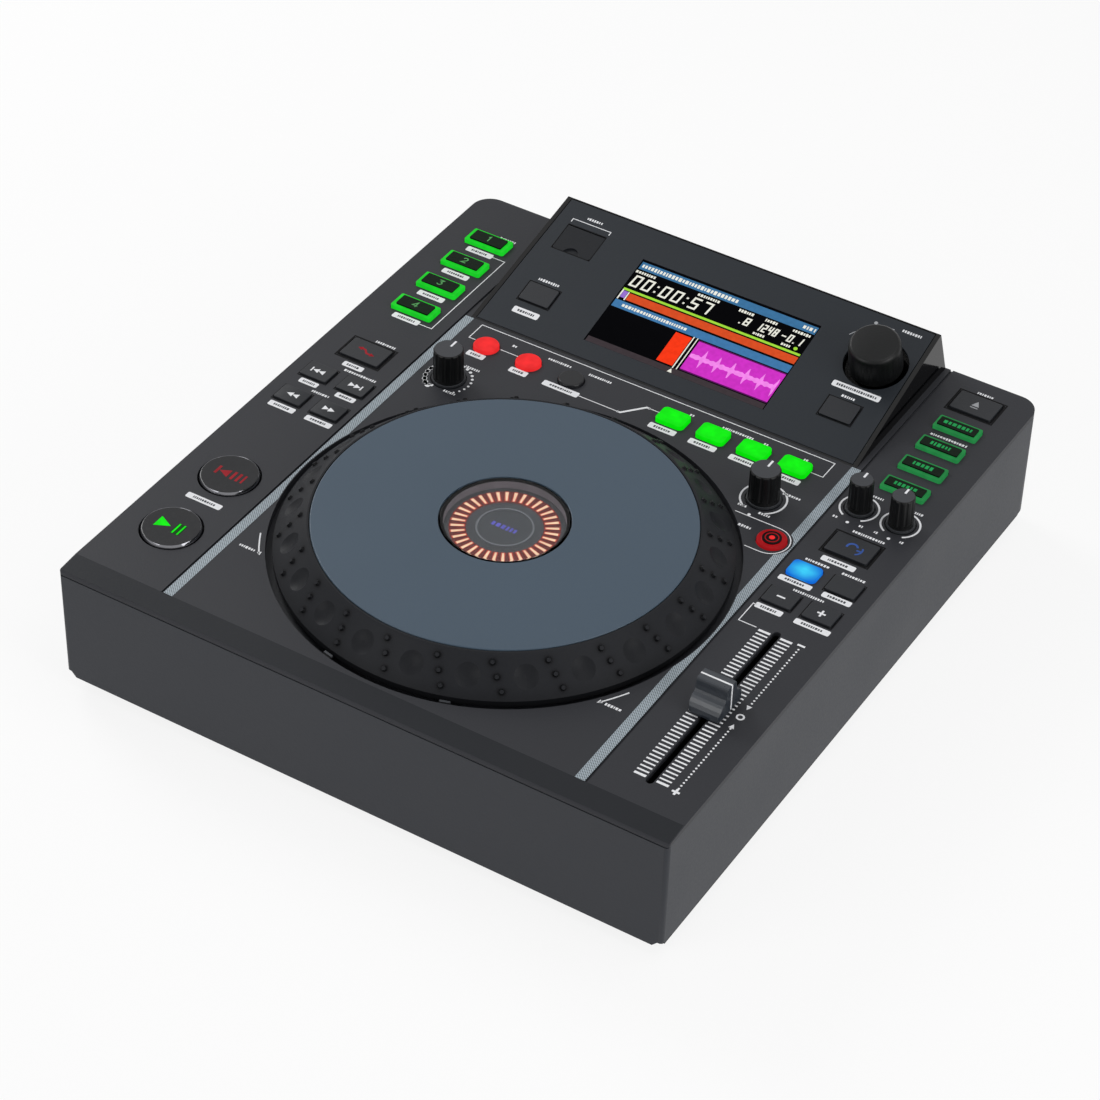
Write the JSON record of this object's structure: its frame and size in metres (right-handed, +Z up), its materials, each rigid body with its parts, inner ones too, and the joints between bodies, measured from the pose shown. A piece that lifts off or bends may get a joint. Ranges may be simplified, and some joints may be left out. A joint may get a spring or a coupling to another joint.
{
  "type": "tabletop dj media player",
  "caption": "Tabletop DJ media player with a tilted screen hood, a large dimpled jog wheel, lit keys, knobs, a pitch fader and rear sockets.",
  "frame": {"origin": "floor level under the middle of the case footprint", "axes": "+X to the user's right, +Y from the user to the back of the case, +Z up"},
  "size_m": [0.304, 0.339, 0.0981],
  "materials": {
    "base_steel": "black powder coat over folded sheet",
    "case_plastic": "fine grained charcoal moulding",
    "deck_plastic": "fine grained charcoal moulding with printed lines",
    "panel_plastic": "fine grained blue-grey moulding",
    "screen_glass": "clear cover over a lit screen",
    "steel_part": "bare steel",
    "silver_trim": "silver strip",
    "board_green": "green circuit board",
    "gilt_socket": "plated socket barrels",
    "black_plastic": "plain black moulding",
    "display_cup": "black cup with lit bars",
    "clear_lens": "clear disc",
    "foot_rubber": "soft black rubber",
    "wheel_plastic": "satin dark grey moulding",
    "wheel_pad": "blue-grey satin metal pad",
    "key_green": "translucent green, lit",
    "key_mint": "translucent green, lit",
    "key_grey": "dark grey rubberised key",
    "key_clear": "glossy cap in a bright bevel",
    "key_red": "translucent red, lit",
    "key_blue": "translucent blue, lit",
    "knob_black": "soft black knob",
    "cap_grey": "satin grey cap with a white line"
  },
  "bodies": {
    "console": {"base_plate": "base_steel", "lower_case": "case_plastic", "top_cover": "deck_plastic", "display_housing": "deck_plastic", "display_panel": "panel_plastic", "display_glass": "screen_glass", "lcd_module": "steel_part", "trim_strips": "silver_trim", "rear_jacks": "gilt_socket", "power_inlet": "black_plastic", "main_board": "board_green", "control_boards": "board_green", "fader_body": "steel_part", "jog_post": "steel_part", "jog_bearings": "steel_part", "jog_display": "display_cup", "jog_lens": "clear_lens", "feet": "foot_rubber", "screws": "steel_part"},
    "hot_cue_1": {"hot_cue_1": "key_green"},
    "hot_cue_2": {"hot_cue_2": "key_green"},
    "hot_cue_3": {"hot_cue_3": "key_green"},
    "hot_cue_4": {"hot_cue_4": "key_green"},
    "direction_key": {"direction_key": "key_grey"},
    "track_back_key": {"track_back_key": "key_grey"},
    "track_next_key": {"track_next_key": "key_grey"},
    "search_back_key": {"search_back_key": "key_grey"},
    "search_next_key": {"search_next_key": "key_grey"},
    "cue_key": {"cue_key": "key_clear"},
    "play_key": {"play_key": "key_clear"},
    "effect_key_1": {"effect_key_1": "key_red"},
    "effect_key_2": {"effect_key_2": "key_red"},
    "effect_key_3": {"effect_key_3": "key_grey"},
    "loop_key_1": {"loop_key_1": "key_green"},
    "loop_key_2": {"loop_key_2": "key_green"},
    "loop_key_3": {"loop_key_3": "key_green"},
    "loop_key_4": {"loop_key_4": "key_green"},
    "slip_key": {"slip_key": "key_red"},
    "eject_key": {"eject_key": "key_grey"},
    "source_key_1": {"source_key_1": "key_mint"},
    "source_key_2": {"source_key_2": "key_mint"},
    "source_key_3": {"source_key_3": "key_mint"},
    "source_key_4": {"source_key_4": "key_mint"},
    "jog_mode_key": {"jog_mode_key": "key_grey"},
    "key_lock_key": {"key_lock_key": "key_blue"},
    "tempo_tap_key": {"tempo_tap_key": "key_grey"},
    "pitch_down_key": {"pitch_down_key": "key_grey"},
    "pitch_up_key": {"pitch_up_key": "key_grey"},
    "time_key": {"time_key": "key_grey"},
    "back_key": {"back_key": "key_grey"},
    "wheel_feel_knob": {"wheel_feel_knob": "knob_black"},
    "filter_knob": {"filter_knob": "knob_black"},
    "tone_knob": {"tone_knob": "knob_black"},
    "tempo_range_knob": {"tempo_range_knob": "knob_black"},
    "browse_knob": {"browse_knob": "knob_black"},
    "fader_cap": {"fader_cap": "cap_grey"},
    "usb_cover": {"usb_cover": "panel_plastic"},
    "power_switch": {"power_switch": "black_plastic"},
    "jog_wheel": {"jog_ring": "wheel_plastic", "jog_pad": "wheel_pad"}
  },
  "joints": [
    {"name": "hot_cue_1_press", "type": "slide", "parent": "console", "child": "hot_cue_1", "axis": [0, 0, -1], "range_m": [0, 0.001], "stiffness_N_per_m": 600, "springref_m": -0.0006},
    {"name": "hot_cue_2_press", "type": "slide", "parent": "console", "child": "hot_cue_2", "axis": [0, 0, -1], "range_m": [0, 0.001], "stiffness_N_per_m": 600, "springref_m": -0.0006},
    {"name": "hot_cue_3_press", "type": "slide", "parent": "console", "child": "hot_cue_3", "axis": [0, 0, -1], "range_m": [0, 0.001], "stiffness_N_per_m": 600, "springref_m": -0.0006},
    {"name": "hot_cue_4_press", "type": "slide", "parent": "console", "child": "hot_cue_4", "axis": [0, 0, -1], "range_m": [0, 0.001], "stiffness_N_per_m": 600, "springref_m": -0.0006},
    {"name": "direction_key_press", "type": "slide", "parent": "console", "child": "direction_key", "axis": [0, 0, -1], "range_m": [0, 0.001], "stiffness_N_per_m": 600, "springref_m": -0.0006},
    {"name": "track_back_key_press", "type": "slide", "parent": "console", "child": "track_back_key", "axis": [0, 0, -1], "range_m": [0, 0.001], "stiffness_N_per_m": 600, "springref_m": -0.0006},
    {"name": "track_next_key_press", "type": "slide", "parent": "console", "child": "track_next_key", "axis": [0, 0, -1], "range_m": [0, 0.001], "stiffness_N_per_m": 600, "springref_m": -0.0006},
    {"name": "search_back_key_press", "type": "slide", "parent": "console", "child": "search_back_key", "axis": [0, 0, -1], "range_m": [0, 0.001], "stiffness_N_per_m": 600, "springref_m": -0.0006},
    {"name": "search_next_key_press", "type": "slide", "parent": "console", "child": "search_next_key", "axis": [0, 0, -1], "range_m": [0, 0.001], "stiffness_N_per_m": 600, "springref_m": -0.0006},
    {"name": "cue_key_press", "type": "slide", "parent": "console", "child": "cue_key", "axis": [0, 0, -1], "range_m": [0, 0.001], "stiffness_N_per_m": 900, "springref_m": -0.0006},
    {"name": "play_key_press", "type": "slide", "parent": "console", "child": "play_key", "axis": [0, 0, -1], "range_m": [0, 0.001], "stiffness_N_per_m": 900, "springref_m": -0.0006},
    {"name": "effect_key_1_press", "type": "slide", "parent": "console", "child": "effect_key_1", "axis": [0, 0, -1], "range_m": [0, 0.001], "stiffness_N_per_m": 600, "springref_m": -0.0006},
    {"name": "effect_key_2_press", "type": "slide", "parent": "console", "child": "effect_key_2", "axis": [0, 0, -1], "range_m": [0, 0.001], "stiffness_N_per_m": 600, "springref_m": -0.0006},
    {"name": "effect_key_3_press", "type": "slide", "parent": "console", "child": "effect_key_3", "axis": [0, 0, -1], "range_m": [0, 0.001], "stiffness_N_per_m": 600, "springref_m": -0.0006},
    {"name": "loop_key_1_press", "type": "slide", "parent": "console", "child": "loop_key_1", "axis": [0, 0, -1], "range_m": [0, 0.001], "stiffness_N_per_m": 600, "springref_m": -0.0006},
    {"name": "loop_key_2_press", "type": "slide", "parent": "console", "child": "loop_key_2", "axis": [0, 0, -1], "range_m": [0, 0.001], "stiffness_N_per_m": 600, "springref_m": -0.0006},
    {"name": "loop_key_3_press", "type": "slide", "parent": "console", "child": "loop_key_3", "axis": [0, 0, -1], "range_m": [0, 0.001], "stiffness_N_per_m": 600, "springref_m": -0.0006},
    {"name": "loop_key_4_press", "type": "slide", "parent": "console", "child": "loop_key_4", "axis": [0, 0, -1], "range_m": [0, 0.001], "stiffness_N_per_m": 600, "springref_m": -0.0006},
    {"name": "slip_key_press", "type": "slide", "parent": "console", "child": "slip_key", "axis": [0, 0, -1], "range_m": [0, 0.001], "stiffness_N_per_m": 600, "springref_m": -0.0006},
    {"name": "eject_key_press", "type": "slide", "parent": "console", "child": "eject_key", "axis": [0, 0, -1], "range_m": [0, 0.001], "stiffness_N_per_m": 600, "springref_m": -0.0006},
    {"name": "source_key_1_press", "type": "slide", "parent": "console", "child": "source_key_1", "axis": [0, 0, -1], "range_m": [0, 0.001], "stiffness_N_per_m": 600, "springref_m": -0.0006},
    {"name": "source_key_2_press", "type": "slide", "parent": "console", "child": "source_key_2", "axis": [0, 0, -1], "range_m": [0, 0.001], "stiffness_N_per_m": 600, "springref_m": -0.0006},
    {"name": "source_key_3_press", "type": "slide", "parent": "console", "child": "source_key_3", "axis": [0, 0, -1], "range_m": [0, 0.001], "stiffness_N_per_m": 600, "springref_m": -0.0006},
    {"name": "source_key_4_press", "type": "slide", "parent": "console", "child": "source_key_4", "axis": [0, 0, -1], "range_m": [0, 0.001], "stiffness_N_per_m": 600, "springref_m": -0.0006},
    {"name": "jog_mode_key_press", "type": "slide", "parent": "console", "child": "jog_mode_key", "axis": [0, 0, -1], "range_m": [0, 0.001], "stiffness_N_per_m": 600, "springref_m": -0.0006},
    {"name": "key_lock_key_press", "type": "slide", "parent": "console", "child": "key_lock_key", "axis": [0, 0, -1], "range_m": [0, 0.001], "stiffness_N_per_m": 600, "springref_m": -0.0006},
    {"name": "tempo_tap_key_press", "type": "slide", "parent": "console", "child": "tempo_tap_key", "axis": [0, 0, -1], "range_m": [0, 0.001], "stiffness_N_per_m": 600, "springref_m": -0.0006},
    {"name": "pitch_down_key_press", "type": "slide", "parent": "console", "child": "pitch_down_key", "axis": [0, 0, -1], "range_m": [0, 0.001], "stiffness_N_per_m": 600, "springref_m": -0.0006},
    {"name": "pitch_up_key_press", "type": "slide", "parent": "console", "child": "pitch_up_key", "axis": [0, 0, -1], "range_m": [0, 0.001], "stiffness_N_per_m": 600, "springref_m": -0.0006},
    {"name": "time_key_press", "type": "slide", "parent": "console", "child": "time_key", "axis": [0, 0.2511, -0.968], "range_m": [0, 0.001], "stiffness_N_per_m": 600, "springref_m": -0.0006},
    {"name": "back_key_press", "type": "slide", "parent": "console", "child": "back_key", "axis": [0, 0.2511, -0.968], "range_m": [0, 0.001], "stiffness_N_per_m": 600, "springref_m": -0.0006},
    {"name": "wheel_feel_knob_turn", "type": "hinge", "parent": "console", "child": "wheel_feel_knob", "pos_m": [-0.0856, 0.0355, 0.0665], "axis": [0, 0, 1], "range_deg": [-140, 140]},
    {"name": "filter_knob_turn", "type": "hinge", "parent": "console", "child": "filter_knob", "pos_m": [0.0783, 0.0393, 0.0665], "axis": [0, 0, 1], "range_deg": [-140, 140]},
    {"name": "tone_knob_turn", "type": "hinge", "parent": "console", "child": "tone_knob", "pos_m": [0.117, 0.0568, 0.0665], "axis": [0, 0, 1], "range_deg": [-140, 140]},
    {"name": "tempo_range_knob_turn", "type": "hinge", "parent": "console", "child": "tempo_range_knob", "pos_m": [0.1374, 0.0568, 0.0665], "axis": [0, 0, 1], "range_deg": [-140, 140]},
    {"name": "browse_turn", "type": "hinge", "parent": "console", "child": "browse_knob", "pos_m": [0.0818, 0.13665, 0.08096], "axis": [0, -0.2511, 0.968], "continuous": true},
    {"name": "fader_slide", "type": "slide", "parent": "console", "child": "fader_cap", "axis": [0, 1, 0], "range_m": [-0.05, 0.05]},
    {"name": "usb_cover_hinge", "type": "hinge", "parent": "console", "child": "usb_cover", "pos_m": [-0.0806, 0.1485, 0.0831], "axis": [-1, 0, 0], "range_deg": [0, 95]},
    {"name": "power_rocker", "type": "hinge", "parent": "console", "child": "power_switch", "pos_m": [0.1007, 0.1555, 0.036], "axis": [1, 0, 0], "range_deg": [-18, 0]},
    {"name": "jog_spin", "type": "hinge", "parent": "console", "child": "jog_wheel", "pos_m": [0, -0.0513, 0.0665], "axis": [0, 0, 1], "continuous": true}
  ]
}
